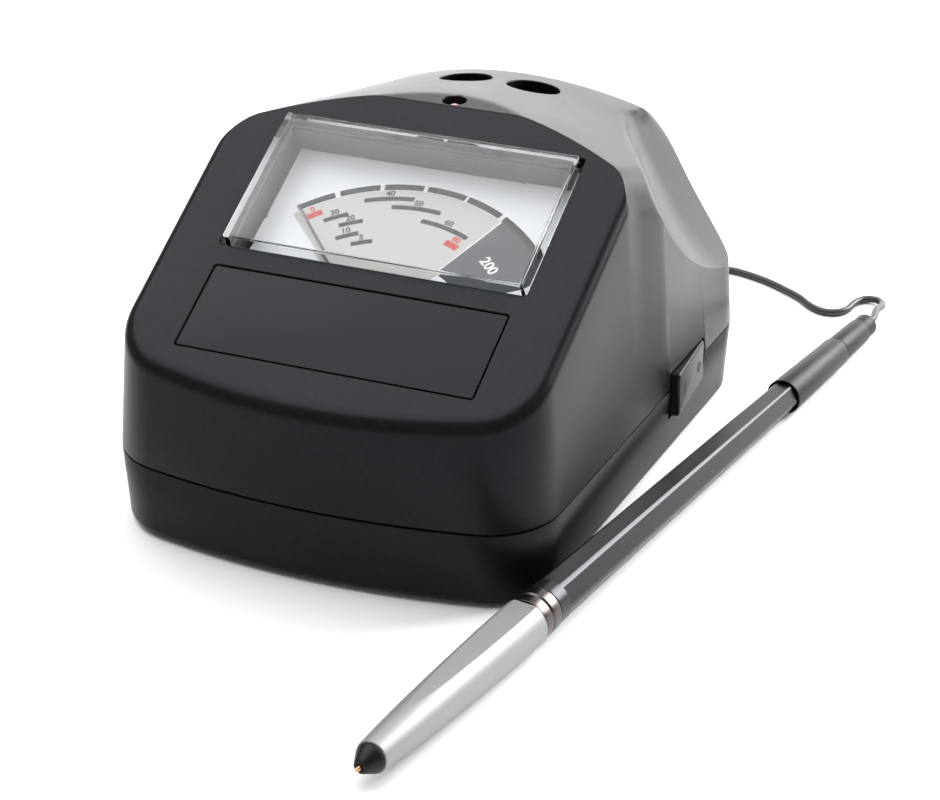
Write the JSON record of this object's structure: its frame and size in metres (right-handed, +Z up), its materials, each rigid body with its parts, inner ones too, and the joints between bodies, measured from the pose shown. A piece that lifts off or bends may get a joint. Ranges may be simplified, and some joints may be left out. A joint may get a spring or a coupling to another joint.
{
  "type": "diamond tester",
  "caption": "Desk diamond tester: black case with a sloping analogue meter, indicator lamp, reference wells, side rocker and a metal-nosed pen probe on a thin cord.",
  "frame": {"origin": "on the table, at the middle of the case and probe's bounding box", "axes": "+Z up from the table; +Y from the meter's front to its rear; +X to the right, the rocker's side"},
  "size_m": [0.1368, 0.2514, 0.079],
  "materials": {
    "case": "fine-textured black moulding",
    "label": "smooth black plate",
    "clear_cover": "clear moulded cover",
    "meter_grey": "light grey moulding",
    "dial": "printed white card",
    "needle": "black enamel",
    "copper": "bright copper",
    "steel": "sintered magnet",
    "brass": "turned brass",
    "lamp": "dark red lens",
    "inner_black": "plain black moulding",
    "glass_disc": "polished glass disc",
    "metal_disc": "ground metal disc",
    "board": "green circuit board",
    "sleeve_print": "plain dark sleeve",
    "nickel": "nickel plate",
    "soft_black": "soft satin black",
    "polished": "polished chrome",
    "dark_chrome": "dark chrome",
    "gloss_black": "glossy black",
    "foot": "matt rubber",
    "screw": "zinc-plated steel",
    "cord": "thin black jacket"
  },
  "bodies": {
    "case": {"upper_shell": "case", "base_shell": "case", "label_plate": "label", "meter_cover": "clear_cover", "meter_case": "meter_grey", "dial_plate": "dial", "meter_magnet": "steel", "pivot_bridge": "brass", "lamp_lens": "lamp", "lamp_holder": "inner_black", "well_cup_left": "inner_black", "well_cup_right": "inner_black", "reference_disc_left": "glass_disc", "reference_disc_right": "metal_disc", "circuit_board": "board", "processor_chip": "inner_black", "capacitor_1": "sleeve_print", "capacitor_2": "sleeve_print", "board_plug": "dial", "switch_housing": "inner_black", "adapter_socket": "inner_black", "cord_gland": "soft_black", "battery_tray": "inner_black", "cell_1": "sleeve_print", "cell_2": "sleeve_print", "cell_3": "sleeve_print", "contact_plate_front": "nickel", "contact_plate_rear": "nickel", "cord_to_coil": "cord", "cord_coil": "cord", "cord_to_probe": "cord", "foot_1": "foot", "case_screw_1": "screw", "foot_2": "foot", "case_screw_2": "screw", "foot_3": "foot", "case_screw_3": "screw", "foot_4": "foot", "case_screw_4": "screw"},
    "needle": {"needle": "needle", "moving_coil": "copper"},
    "rocker": {"rocker": "case"},
    "battery_door": {"battery_door": "case"},
    "probe": {"probe_tip_cap": "inner_black", "probe_tip_spring": "nickel", "probe_nose": "polished", "probe_collar": "dark_chrome", "probe_barrel": "gloss_black", "probe_boot": "soft_black", "probe_sleeve": "soft_black", "probe_end_cap": "soft_black", "probe_core": "brass"},
    "probe_tip": {"probe_tip_pin": "copper"}
  },
  "joints": [
    {"name": "needle_swing", "type": "hinge", "parent": "case", "child": "needle", "pos_m": [-0.01304, -0.01469, 0.04435], "axis": [0, 0.4462, -0.8949], "range_deg": [0, 86], "stiffness_Nm_per_rad": 0.0008, "springref_deg": -34.38},
    {"name": "rocker_tilt", "type": "hinge", "parent": "case", "child": "rocker", "pos_m": [0.03738, 0.04342, 0.01635], "axis": [0, 0, -1], "range_deg": [0, 9.9]},
    {"name": "door_slide", "type": "slide", "parent": "case", "child": "battery_door", "axis": [0, 1, 0], "range_m": [0, 0.05]},
    {"name": "probe_raise", "type": "hinge", "parent": "case", "child": "probe", "pos_m": [0.06569, 0.11301, 0.00383], "axis": [-0.9871, 0.1604, 0], "range_deg": [0, 15]},
    {"name": "probe_tip_press", "type": "slide", "parent": "probe", "child": "probe_tip", "axis": [0.1604, 0.987, -0.0092], "range_m": [0, 0.0012], "stiffness_N_per_m": 250, "springref_m": -0.002}
  ]
}
